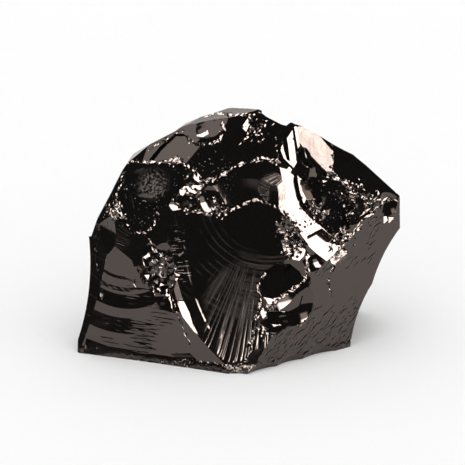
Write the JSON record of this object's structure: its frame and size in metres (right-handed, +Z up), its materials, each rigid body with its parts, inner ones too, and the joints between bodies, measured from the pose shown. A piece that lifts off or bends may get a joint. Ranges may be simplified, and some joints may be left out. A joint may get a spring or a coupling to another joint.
{
  "type": "shungite specimen",
  "caption": "Hand specimen of noble shungite: a glassy black lump with shell-like fractures, ripples and chipped ridges, standing on one flat break.",
  "frame": {"origin": "middle of the bounding box's footprint, at the height of the flat break that the stone stands on", "axes": "+Z up, +X to the stone's right as its great bowl is faced, and the great bowl faces -Y"},
  "size_m": [0.0524, 0.0342, 0.0368],
  "materials": {
    "shungite": "glassy black fracture surface, sharp reflections, fine dust and frosted chips on the ridges"
  },
  "bodies": {
    "root": {"shungite": "shungite"}
  },
  "joints": []
}
